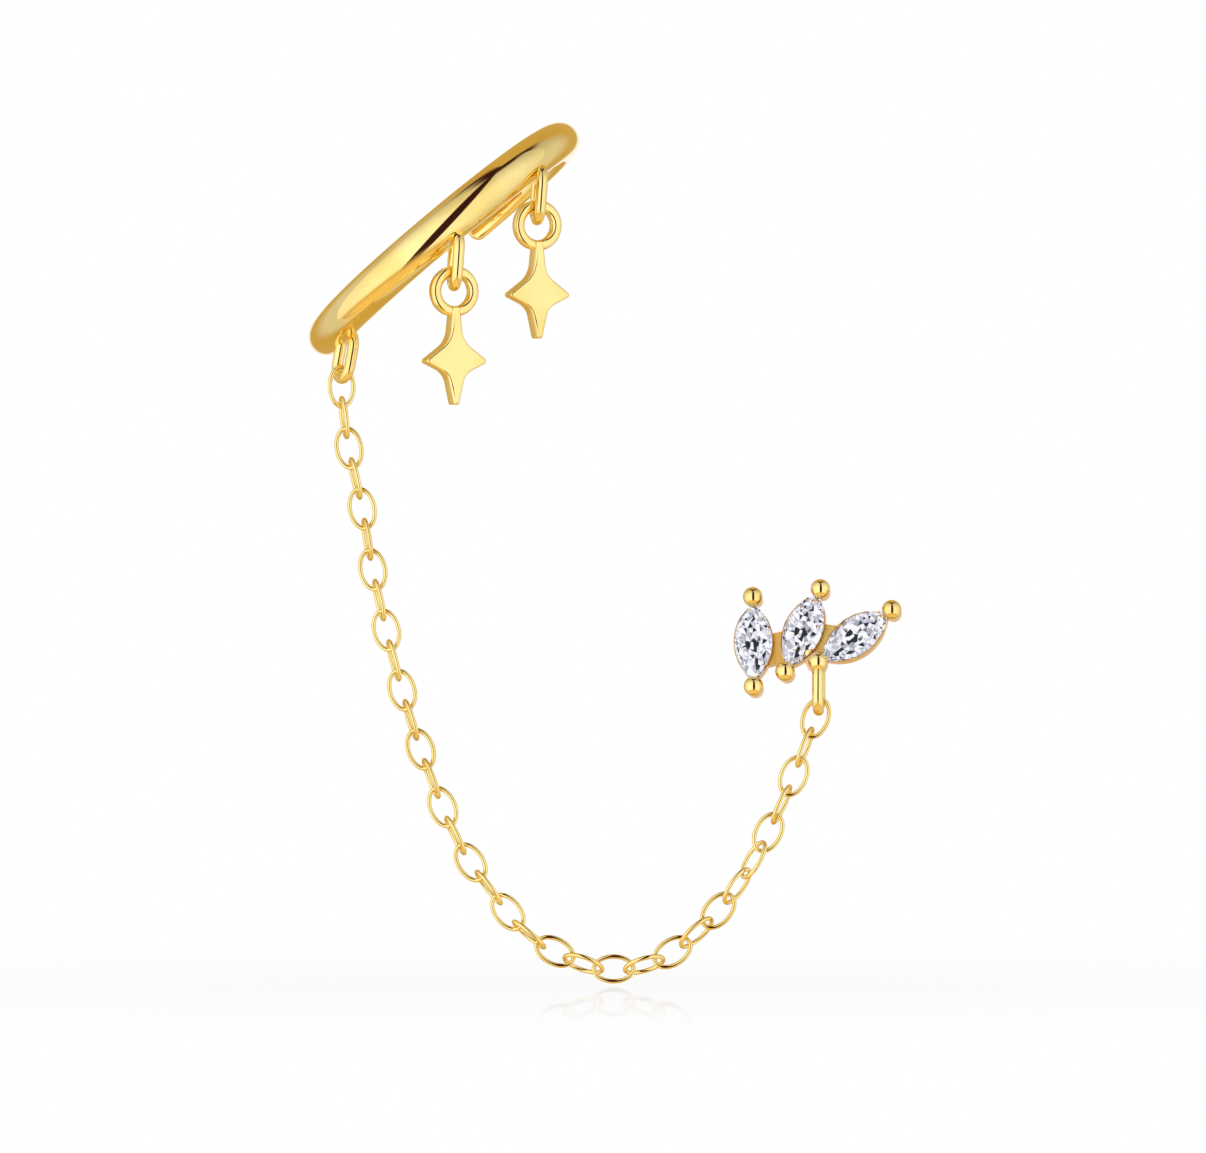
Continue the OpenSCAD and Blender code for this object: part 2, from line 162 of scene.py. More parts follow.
class CuffSizes(bpy.types.PropertyGroup):
    """Sizes of the open ear cuff and of the four bails."""

    inner_d: size("Inside diameter", 10.7, "Inside diameter of the open ring")
    front_w: size("Front width", 1.55, "Width of the band at the middle of its front")
    back_w: size("Back width", 1.13, "Width of the band at the back of the ring")
    front_t: size("Front thickness", 1.2, "Thickness of the band at its front")
    back_t: size("Back thickness", 0.85, "Thickness of the band at its back")
    end_r: size("End radius", 0.4, "Corner radius of the free ends, seen on the flat")
    end_round: size("End rounding", 0.22, "Rounding of the free ends through the thickness")
    left_angle: angle("Left end", 112, "Angle from the front middle to the left end")
    right_angle: angle("Right end", 171, "Angle from the front middle to the right end")
    slope: angle("Slope", 40, "Slope of the ring, which rises to the right")
    nod: angle("Nod", 2.5, "Nod of the ring, which sets its back lower")
    wire: size("Bail wire", 0.43, "Wire diameter of the bails")
    solder: size("Solder depth", 0.5, "How deep the top of a bail is soldered in")
    chain_slot: size("Chain bail slot", 0.7, "Clear width inside the two chain bails")
    chain_hang: size("Chain bail hang", 1.66, "How far the chain bails reach down")
    star_hang: size("Star bail hang", 1.84, "How far the star bails reach down")
    star_1_at: angle("First star", 2.5, "Angle round the cuff to the first star bail")
    star_2_at: angle("Second star", 46, "Angle round the cuff to the second star bail")
    chain_at: angle("Chain", -62.5, "Angle round the cuff to the chain bail")
    star_turn: angle("Star bail turn", 9.5, "Turn of the star bails away from edge on")
    star_lean: angle("Star bail lean", 4, "Lean of the star bails to the left")
    chain_turn: angle("Chain bail turn", 25, "Turn of the chain bail away from edge on")
    chain_lean: angle("Chain bail lean", 10, "Lean of the chain bail to the left")


class CharmSizes(bpy.types.PropertyGroup):
    """Sizes of the two star charms."""

    eye_d: size("Eye diameter", 1.9, "Outside diameter of the round eye")
    eye_wall: size("Eye wall", 0.4, "Width of the eye's ring from hole to outside")
    eye_t: size("Eye thickness", 0.5, "Thickness of the eye's ring")
    eye_edge: size("Eye edge", 0.17, "Radius of the ring's rounded edges")
    reach_side: size("Side reach", 1.18, "Reach of the star to each side")
    reach_up: size("Upper reach", 2, "Reach of the star's upper arm")
    reach_down: size("Lower reach", 1.67, "Reach of the star's lower arm")
    thickness: size("Star thickness", 0.7, "Thickness of the star plate")
    edge: size("Star edge", 0.1, "Radius of the star's polished edges")
    turn: angle("Turn", 22, "Turn of the charms away from face on")
    side_gap: size("Side gap", 0.13, "Gap on each side of an eye inside its bail")
    hang_gap: size("Hang gap", 0.13, "Gap between an eye and the bar that carries it")


class ChainSizes(bpy.types.PropertyGroup):
    """Sizes of the cable chain."""

    count: IntProperty(name="Links", description="Number of links", default=34, min=2)
    link_len: size("Link length", 1.66, "Length of a link over its wire")
    link_w: size("Link width", 1.1, "Width of a link over its wire")
    wire: size("Link wire", 0.17, "Wire diameter of a link")
    route_steps: IntProperty(
        name="Route steps", description="Steps between two points of the hang", default=12
    )


class StoneSizes(bpy.types.PropertyGroup):
    """Sizes of the marquise stones."""

    length: size("Length", 3, "Length of a stone")
    width: size("Width", 1.5, "Width of a stone")
    crown: size("Crown", 0.26, "Height of the crown above the girdle")
    pavilion: size("Pavilion", 0.62, "Depth of the pavilion below the girdle")
    girdle: size("Girdle", 0.05, "Thickness of the girdle")
    table: share("Table", 0.58, "Share of the outline that the table takes")


class StudSizes(bpy.types.PropertyGroup):
    """Sizes of the stud's setting."""

    ball_d: size("Ball", 0.74, "Diameter of the ball on every prong")
    prong_d: size("Prong", 0.64, "Diameter of the prong behind its ball")
    prong_out: size("Prong distance", 0.19, "How far a prong stands outside its stone's tip")
    ball_front: size("Ball front", 0.15, "How far a ball stands in front of the girdle")
    seat_front: size("Seat front", 0.3, "From the girdle back to the front of the seats")
    seat_back: size("Seat back", 1, "From the girdle to the back of the seats")
    seat_wall: size("Seat wall", 0.17, "Wall thickness of the open seats")
    seat_floor: size("Seat floor", 0.18, "Plate behind the middle stone")
    bridge_h: size("Bridge", 1.15, "Height of the bridges between the seats")
    post_d: size("Post", 0.75, "Diameter of the ear post")
    post_len: size("Post length", 9.5, "Length of the straight part of the ear post")
    stone_gap: size("Stone gap", 0.05, "Gap between a stone and the metal round it")
    turn: angle("Turn", 4.5, "Turn of the stud to the left")
    tilt: angle("Tilt", 7.5, "Tilt of the stud upwards")


class FinishLook(bpy.types.PropertyGroup):
    """Colours and polish of the metal and the stones."""

    gold: colour("Gold", (1.0, 0.8, 0.33), "Face colour of the polished gold")
    gold_deep: colour("Deep gold", (0.93, 0.69, 0.23), "Colour where the plating is warmer")
    # Painted shade: the seats' recesses get this darker orange in place of the shade that falls
    # there
    gold_recess_shade: colour("Recess shade gold", (1.0, 0.58, 0.14), "Colour in the recesses of the seats")
    haze: share("Haze", 0.035, "Roughness of the polished gold")
    cast_haze: share("Cast haze", 0.24, "Roughness in the recesses of the seats")
    stone: colour("Stone", (0.985, 0.985, 1.0), "Body colour of the clear stones")
    stone_cool: colour("Cool stone", (0.95, 0.955, 0.99), "Cooler tint inside the stones")
    stone_ior: FloatProperty(
        name="Stone IOR", description="Refraction of the stones' clear shell", default=1.12
    )


class StageLook(bpy.types.PropertyGroup):
    """Floor, lights and camera."""

    floor_z: size("Floor", -28.04, "Height of the floor")
    floor_side: FloatProperty(
        name="Floor side", description="Side of the square floor", default=6, unit="LENGTH"
    )
    mirror: share("Mirror", 0.2, "Strength of the floor's faint mirror image")
    mirror_haze: share("Mirror haze", 0.02, "Roughness of the floor's mirror image")
    mirror_reach: size("Mirror reach", 75, "Distance at which the mirror image is gone")
    camera_x: size("Camera X", 5.981, "Place of the camera to the right")
    camera_z: size("Camera Z", -12.7, "Height of the camera")
    distance: size("Distance", 600, "Distance from the camera to the object")
    near_y: size("Object depth", -3, "Depth at which the framing is measured")
    view_width: size("View width", 45.225, "Width of the view at the object")


GROUPS = {
    "earring_cuff": CuffSizes,
    "earring_charm": CharmSizes,
    "earring_chain": ChainSizes,
    "earring_stone": StoneSizes,
    "earring_stud": StudSizes,
    "earring_finish": FinishLook,
    "earring_stage": StageLook,
}


# Placing

def rotation(axis, amount):
    return Matrix.Rotation(amount, 4, axis)


def shift(x, y, z):
    return Matrix.Translation((x, y, z))


def cuff_frame(cuff):
    """From the ring's own frame, with its axis along Z, to the part's frame."""
    return rotation("Y", -cuff.slope) @ rotation("X", -cuff.nod)


def back_share(a):
    return ((1 - math.cos(a)) / 2) ** 2


def band_width(cuff, a):
    return cuff.front_w + (cuff.back_w - cuff.front_w) * back_share(a)


def band_thickness(cuff, a):
    return cuff.front_t + (cuff.back_t - cuff.front_t) * back_share(a)


def bail_root(cuff, a):
    """Where the underside of the band carries a bail."""
    seat_share = 0.45
    r = cuff.inner_d / 2 + band_thickness(cuff, a) * seat_share
    return cuff_frame(cuff) @ Vector(
        (r * math.sin(a), -r * math.cos(a), -band_width(cuff, a) / 2)
    )


def bail_bar(cuff, root, hang, lean):
    """Middle of the bar at the bottom of a bail."""
    return root + rotation("Y", lean) @ Vector((0, 0, cuff.wire / 2 - hang))


def chain_start(cuff):
    return bail_bar(cuff, bail_root(cuff, cuff.chain_at), cuff.chain_hang, cuff.chain_lean)


def fan_place(stone, row):
    return Vector((row[0] * stone.width, 0, row[1] * stone.length))


def fan_frame(stone, row):
    """From a stone's own frame to the stud's."""
    return Matrix.Translation(fan_place(stone, row)) @ rotation("Y", math.radians(row[2]))


def stud_bail_root(cuff, stone, stud):
    """The stud's bail hangs on the lower prong of the last stone."""
    lean = math.radians(FAN[2][2])
    reach = stone.length / 2 + stud.prong_out
    prong = fan_place(stone, FAN[2]) - reach * Vector((math.sin(lean), 0, math.cos(lean)))
    depth = (cuff.wire + cuff.chain_slot) / 2 - stud.ball_front
    return prong + Vector((0, depth, -stud.prong_d / 2))


def stud_frame(cuff, stone, stud):
    """From the stud's own frame to the part's: its bail's bar meets the end of the chain."""
    turned = rotation("Z", -stud.turn) @ rotation("X", -stud.tilt)
    bar = bail_bar(cuff, stud_bail_root(cuff, stone, stud), cuff.chain_hang, 0)
    end = Vector((CHAIN_ROUTE[-1][0] * MM, 0, CHAIN_ROUTE[-1][1] * MM))
    return Matrix.Translation(chain_start(cuff) + end - turned @ bar) @ turned


# Meshes

def shade(mesh, smooth=True):
    mesh.polygons.foreach_set("use_smooth", [smooth] * len(mesh.polygons))


def new_piece(name, bm, smooth=True):
    """A linked object at the origin whose mesh holds its place."""
    mesh = bpy.data.meshes.new(name)
    bm.to_mesh(mesh)
    bm.free()
    shade(mesh, smooth)
    piece = bpy.data.objects.new(name, mesh)
    bpy.context.scene.collection.objects.link(piece)
    return piece


def settle(piece, body, slot, materials, *nodes):
    """Gives a finished piece its materials, its body and the nodes that it stands for."""
    where = [polygon.material_index for polygon in piece.data.polygons]
    piece.data.materials.clear()
    for material in materials:
        piece.data.materials.append(material)
    piece.data.polygons.foreach_set("material_index", where)
    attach(piece, body)
    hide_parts(*nodes)


def add_skin(bm, rings, place, caps=True, looped=False):
    """Skins rings of points with quads; caps close the two ends of an open skin."""
    rows = [[bm.verts.new(place @ Vector(p)) for p in ring] for ring in rings]
    n = len(rows[0])
    made = []
    for i in range(len(rows) if looped else len(rows) - 1):
        a, b = rows[i], rows[(i + 1) % len(rows)]
        for k in range(n):
            made.append(bm.faces.new((a[k], a[(k + 1) % n], b[(k + 1) % n], b[k])))
    if caps and not looped:
        made.append(bm.faces.new(rows[0][::-1]))
        made.append(bm.faces.new(rows[-1]))
    bmesh.ops.recalc_face_normals(bm, faces=made)


def add_wire_loop(bm, path, radius, place, sides=20):
    """A round wire along a closed path in the XZ plane."""
    n = len(path)
    rings = []
    for i, p in enumerate(path):
        along = (Vector(path[(i + 1) % n]) - Vector(path[i - 1])).normalized()
        across = along.cross(Vector((0, 1, 0)))
        ring = []
        for k in range(sides):
            t = math.tau * k / sides
            ring.append(
                Vector(p) + radius * (math.cos(t) * across + math.sin(t) * Vector((0, 1, 0)))
            )
        rings.append(ring)
    add_skin(bm, rings, place, looped=True)


def add_bail(bm, cuff, slot, hang, place, steps=24, leg_steps=8):
    """A closed loop of wire with round ends, its outer top at the solder depth."""
    r = (slot + cuff.wire) / 2
    top = cuff.solder - cuff.wire / 2 - r
    bottom = cuff.wire / 2 - hang + r
    path = []
    for k in range(steps + 1):
        t = math.pi * k / steps
        path.append((r * math.cos(t), 0, top + r * math.sin(t)))
    for k in range(1, leg_steps):
        path.append((-r, 0, top + (bottom - top) * k / leg_steps))
    for k in range(steps + 1):
        t = math.pi * k / steps
        path.append((-r * math.cos(t), 0, bottom - r * math.sin(t)))
    for k in range(1, leg_steps):
        path.append((r, 0, bottom + (top - bottom) * k / leg_steps))
    add_wire_loop(bm, path, cuff.wire / 2, place)


def marquise_point(a, b, f, side):
    """Point at share f of one side of a marquise outline, from one tip to the other."""
    r = (a * a + b * b) / (2 * b)
    q = math.asin(a / r) * f
    return side * (r * math.cos(q) - (r - b)), r * math.sin(q)


def marquise_outline(a, b, steps=48):
    right = [marquise_point(a, b, 2 * k / steps - 1, 1) for k in range(steps + 1)]
    left = [marquise_point(a, b, 1 - 2 * k / steps, -1) for k in range(1, steps)]
    return right + left


def add_slab(bm, outline, front, back, place):
    """A flat outline of the XZ plane made solid from one depth to another."""
    rings = [[(x, y, z) for x, z in outline] for y in (front, back)]
    add_skin(bm, rings, place)


def add_turned(bm, profile, place, steps=48):
    """A solid turned about Z from a profile of radius and height; zero radius closes it."""
    rows = []
    for r, z in profile:
        if r == 0:
            rows.append([bm.verts.new(place @ Vector((0, 0, z)))])
            continue
        ring = []
        for k in range(steps):
            t = math.tau * k / steps
            ring.append(bm.verts.new(place @ Vector((r * math.cos(t), r * math.sin(t), z))))
        rows.append(ring)
    made = []
    for a, b in zip(rows, rows[1:]):
        for k in range(steps):
            j = (k + 1) % steps
            corners = [a[k % len(a)], a[j % len(a)], b[j % len(b)], b[k % len(b)]]
            made.append(bm.faces.new(list(dict.fromkeys(corners))))
    bmesh.ops.recalc_face_normals(bm, faces=made)


def subtract(piece, cutters):
    """Joins a piece's overlapping solids into one and takes the cutters away from it."""
    cut = piece.modifiers.new("Seat cuts", "BOOLEAN")
    cut.operation = "DIFFERENCE"
    cut.solver = "EXACT"
    cut.use_self = True
    cut.object = cutters
    bake_modifiers(piece)
    bpy.data.objects.remove(cutters)


def bake_modifiers(piece):
    """Turns what the modifiers make into the piece's plain mesh."""
    bpy.context.view_layer.update()
    evaluated = piece.evaluated_get(bpy.context.evaluated_depsgraph_get())
    mesh = bpy.data.meshes.new_from_object(evaluated)
    piece.modifiers.clear()
    piece.data = mesh
    if not mesh.polygons:
        raise RuntimeError(f"{piece.name} came out empty")


# Nodes

def feed(tree, socket, value):
    """Links another node's socket to an input, or sets the input's own value."""
    if isinstance(value, bpy.types.NodeSocket):
        tree.links.new(value, socket)
    else:
        socket.default_value = value


def add_node(tree, kind, inputs=None, **settings):
    """A new node with its settings made and its inputs fed by name or number."""
    node = tree.nodes.new(kind)
    for key, value in settings.items():
        setattr(node, key, value)
    for key, value in (inputs or {}).items():
        feed(tree, node.inputs[key], value)
    return node


def add_math(tree, operation, *values):
    """A math node fed with sockets or numbers; gives its output."""
    inputs = dict(enumerate(values))
    return add_node(tree, "ShaderNodeMath", inputs, operation=operation).outputs[0]


def product(tree, *factors):
    """All the factors multiplied."""
    result = factors[0]
    for factor in factors[1:]:
        result = add_math(tree, "MULTIPLY", result, factor)
    return result


def without(tree, share_gone):
    """What is left of 1 once a share has gone."""
    return add_math(tree, "SUBTRACT", 1, share_gone)


def rise(tree, value, low, high):
    """0 at low, 1 at high, smooth between."""
    inputs = {"From Min": low, "From Max": high, "Value": value}
    node = add_node(tree, "ShaderNodeMapRange", inputs, interpolation_type="SMOOTHSTEP")
    return node.outputs["Result"]


def mix_colour(tree, factor, a, b, **settings):
    """Colour a where the factor is 0, colour b where it is 1."""
    inputs = {"Factor": factor}
    for name, value in (("A", a), ("B", b)):
        inputs[name] = (*value, 1) if isinstance(value, tuple) else value
    node = add_node(tree, "ShaderNodeMix", inputs, data_type="RGBA", **settings)
    return node.outputs["Result"]


def new_group(name, inputs, outputs):
    """An empty shader group with named sockets, and its input and output nodes."""
    tree = bpy.data.node_groups.new(name, "ShaderNodeTree")
    for label, kind, value in inputs:
        socket = tree.interface.new_socket(label, in_out="INPUT", socket_type=kind)
        if value is not None:
            socket.default_value = value
    for label, kind in outputs:
        tree.interface.new_socket(label, in_out="OUTPUT", socket_type=kind)
    return tree, tree.nodes.new("NodeGroupInput").outputs, tree.nodes.new("NodeGroupOutput")


# Materials

def polish_group():
    """Hand-polished metal: slow colour drift, haze and fine polishing lines."""
    if "Hand polish" in bpy.data.node_groups:
        return bpy.data.node_groups["Hand polish"]
    tree, given, out = new_group(
        "Hand polish",
        [
            ("Vector", "NodeSocketVector", None),
            ("Face Colour", "NodeSocketColor", (1, 0.8, 0.3, 1)),
            ("Deep Colour", "NodeSocketColor", (0.9, 0.6, 0.2, 1)),
            ("Drift Scale", "NodeSocketFloat", 450.0),
            ("Line Scale", "NodeSocketFloat", 5200.0),
            ("Haze", "NodeSocketFloat", 0.04),
            ("Line Depth", "NodeSocketFloat", 0.05),
        ],
        [
            ("Colour", "NodeSocketColor"),
            ("Roughness", "NodeSocketFloat"),
            ("Normal", "NodeSocketVector"),
        ],
    )
    drift_low, drift_high, extra_haze, line_height = 0.42, 0.75, 0.04, 0.004 * MM
    drift = add_node(tree, "ShaderNodeTexNoise", {
        "Vector": given["Vector"], "Scale": given["Drift Scale"], "Detail": 2,
    })
    band = add_node(tree, "ShaderNodeMapRange", {
        "Value": drift.outputs["Fac"], "From Min": drift_low, "From Max": drift_high,
    })
    colours = given["Face Colour"], given["Deep Colour"]
    feed(tree, out.inputs["Colour"], mix_colour(tree, band.outputs["Result"], *colours))
    stretch = add_node(tree, "ShaderNodeMapping", {
        "Vector": given["Vector"], "Scale": (1, 1, 0.12), "Rotation": (0.5, 0.7, 0.2),
    })
    lines = add_node(tree, "ShaderNodeTexNoise", {
        "Vector": stretch.outputs["Vector"], "Scale": given["Line Scale"], "Detail": 3,
    }).outputs["Fac"]
    haze = add_math(tree, "MULTIPLY_ADD", lines, extra_haze, given["Haze"])
    feed(tree, out.inputs["Roughness"], haze)
    bump = add_node(tree, "ShaderNodeBump", {
        "Height": lines, "Strength": given["Line Depth"], "Distance": line_height,
    })
    feed(tree, out.inputs["Normal"], bump.outputs["Normal"])
    return tree


def new_material(name):
    """A material, its node tree and its Principled shader."""
    material = bpy.data.materials.new(name)
    material.use_nodes = True
    return material, material.node_tree, material.node_tree.nodes["Principled BSDF"]


def metal_material(name, face, deep, haze, line_depth, drift=450.0):
    """Polished metal whose colour drifts from place to place."""
    material, tree, shader = new_material(name)
    shader.inputs["Metallic"].default_value = 1
    polish = add_node(tree, "ShaderNodeGroup", node_tree=polish_group())
    for label, value in (
        ("Vector", tree.nodes.new("ShaderNodeTexCoord").outputs["Object"]),
        ("Face Colour", (*face, 1)),
        ("Deep Colour", (*deep, 1)),
        ("Haze", haze),
        ("Line Depth", line_depth),
        ("Drift Scale", drift),
    ):
        feed(tree, polish.inputs[label], value)
    feed(tree, shader.inputs["Base Color"], polish.outputs["Colour"])
    feed(tree, shader.inputs["Roughness"], polish.outputs["Roughness"])
    if line_depth:
        feed(tree, shader.inputs["Normal"], polish.outputs["Normal"])
    return material


def gold_material(finish, name, line_depth=0.03):
    """Polished yellow gold plating."""
    return metal_material(name, finish.gold, finish.gold_deep, finish.haze, line_depth)


def stone_material(finish):
    """Clear cut stone with a cool tint that drifts through it."""
    tint_scale = 1600
    material, tree, shader = new_material("Clear cut stone")
    shader.inputs["Transmission Weight"].default_value = 1
    shader.inputs["IOR"].default_value = finish.stone_ior
    shader.inputs["Roughness"].default_value = 0
    cloud = add_node(tree, "ShaderNodeTexNoise", {
        "Vector": tree.nodes.new("ShaderNodeTexCoord").outputs["Object"],
        "Scale": tint_scale,
    })
    tint = mix_colour(
        tree, cloud.outputs["Fac"], tuple(finish.stone), tuple(finish.stone_cool)
    )
    feed(tree, shader.inputs["Base Color"], tint)
    return material


def brilliance_material(finish):
    """Silvery facets inside a stone."""
    haze, line_depth, drift = 0.01, 0, 2600
    return metal_material(
        "Stone brilliance", finish.stone, finish.stone_cool, haze, line_depth, drift
    )


# Pieces

def band_section(cuff, s, length, sides):
    """One section of the band: a dome outside, a flat face with rounded corners inside."""
    shoulder_share, flatness = 0.3, 0.5
    a = s / length * (cuff.left_angle + cuff.right_angle) - cuff.left_angle
    near = min(s, length - s)

    def end_cut(r):
        return 0 if near >= r else r - math.sqrt(max(0, r * r - (r - near) ** 2))

    cut = end_cut(cuff.end_round)
    half = band_width(cuff, a) / 2 - end_cut(cuff.end_r)
    t = band_thickness(cuff, a) - 2 * cut
    shoulder = cuff.inner_d / 2 + cut + t * shoulder_share
    ring = []
    for k in range(sides):
        c, q = math.cos(math.tau * k / sides), math.sin(math.tau * k / sides)
        if c > 0:
            out, across = c * (1 - shoulder_share), q
        else:
            out = -((-c) ** flatness) * shoulder_share
            across = math.copysign(abs(q) ** flatness, q)
        r = shoulder + t * out
        ring.append((r * math.sin(a), -r * math.cos(a), half * across))
    return ring


def build_cuff(cuff, charm):
    """The open domed band with its three soldered bails."""
    bm = bmesh.new()
    length = (cuff.inner_d / 2 + cuff.front_t / 2) * (cuff.left_angle + cuff.right_angle)
    steps, end_steps, sides = 220, 14, 64
    turns = [math.pi / 2 * k / end_steps for k in range(end_steps + 1)]
    ends = [cuff.end_r * (1 - math.cos(turn)) for turn in turns]
    middle = [cuff.end_r + (length - 2 * cuff.end_r) * k / steps for k in range(1, steps)]
    stations = ends + middle + [length - s for s in reversed(ends)]
    rings = [band_section(cuff, s, length, sides) for s in stations]
    add_skin(bm, rings, cuff_frame(cuff))
    star_slot = charm.eye_t + 2 * charm.side_gap
    edge_on = -math.pi / 2
    bails = [
        (cuff.star_1_at, cuff.star_lean, cuff.star_turn, star_slot, cuff.star_hang),
        (cuff.star_2_at, cuff.star_lean, cuff.star_turn, star_slot, cuff.star_hang),
        (cuff.chain_at, cuff.chain_lean, cuff.chain_turn, cuff.chain_slot, cuff.chain_hang),
    ]
    for at, lean, turn, slot, hang in bails:
        place = (
            Matrix.Translation(bail_root(cuff, at))
            @ rotation("Y", lean)
            @ rotation("Z", turn + edge_on)
        )
        add_bail(bm, cuff, slot, hang, place)
    return new_piece("polished_cuff", bm)


def rounded_corner(before, at, after, r, steps=10):
    """Points that round one corner of an outline, each with its direction and radius."""
    u, v = (before - at).normalized(), (after - at).normalized()
    half = math.acos(max(-1, min(1, u.dot(v)))) / 2
    centre = at + (u + v).normalized() * (r / math.sin(half))
    start = at + u * (r / math.tan(half)) - centre
    turn = 1 if u.x * v.y - u.y * v.x > 0 else -1
    sweep = -(math.pi - 2 * half) * turn
    points = []
    for k in range(steps + 1):
        a = sweep * k / steps
        arm = Vector((
            start.x * math.cos(a) - start.y * math.sin(a),
            start.x * math.sin(a) + start.y * math.cos(a),
        ))
        points.append((centre + arm, arm.normalized() * turn, r))
    return points


def star_outline(charm):
    """The star's outline with outward directions, and how far each point may move in."""
    rows = []
    for x, y, r in STAR_OUTLINE:
        reach = charm.reach_up if y > 0 else charm.reach_down
        rows.append((Vector((x * charm.reach_side, y * reach)), r * charm.reach_side))
    rows += [(Vector((-p.x, p.y)), r) for p, r in reversed(rows)]
    n = len(rows)
    outline = []
    for k, (p, r) in enumerate(rows):
        outline += rounded_corner(rows[k - 1][0], p, rows[(k + 1) % n][0], r)
    flip = 1 if outline[0][1].dot(outline[0][0]) > 0 else -1
    corner_share, no_limit = 0.9, 1
    return [
        (p, d * flip, r * corner_share if d.dot(p) * flip > 0 else no_limit)
        for p, d, r in outline
    ]


def build_charm(name, cuff, charm, at):
    """One star charm: a flat star with polished edges, made as one casting with its round eye."""
    bm = bmesh.new()
    eye_r = (charm.eye_d - charm.eye_wall) / 2
    hole_r = eye_r - charm.eye_wall / 2
    eye_drop = hole_r - charm.hang_gap - cuff.wire / 2
    bar = bail_bar(cuff, bail_root(cuff, at), cuff.star_hang, cuff.star_lean)
    place = Matrix.Translation(bar) @ shift(0, 0, -eye_drop) @ rotation("Z", charm.turn)
    ring_steps, corner_steps, edge_steps, cap_inset = 120, 8, 8, 1.25
    section = []
    w, h, r = charm.eye_wall / 2, charm.eye_t / 2, charm.eye_edge
    for quarter, (sx, sy) in enumerate(((1, 1), (-1, 1), (-1, -1), (1, -1))):
        for k in range(corner_steps + 1):
            t = math.pi / 2 * (quarter + k / corner_steps)
            section.append((
                eye_r + sx * (w - r) + r * math.cos(t),
                sy * (h - r) + r * math.sin(t),
            ))
    rings = []
    for i in range(ring_steps):
        t = math.tau * i / ring_steps
        rings.append([(x * math.cos(t), y, x * math.sin(t)) for x, y in section])
    add_skin(bm, rings, place, looped=True)
    outline = star_outline(charm)
    half = charm.thickness / 2
    inset = [(charm.edge * cap_inset, half)]
    for k in range(edge_steps + 1):
        t = math.pi / 2 * k / edge_steps
        inset.append((charm.edge * (1 - math.sin(t)), half - charm.edge * (1 - math.cos(t))))
    levels = [(d, -y) for d, y in inset] + [(d, y) for d, y in reversed(inset)]
    overlap = 0.02 * MM
    drop = hole_r + overlap + charm.reach_up
    rings = []
    for d, y in levels:
        ring = []
        for p, out, limit in outline:
            moved = p - out * min(d, limit)
            ring.append((moved.x, y, moved.y - drop))
        rings.append(ring)
    add_skin(bm, rings, place)
    piece = new_piece(name, bm)
    for polygon in piece.data.polygons:
        polygon.use_smooth = len(polygon.vertices) == 4
    return piece


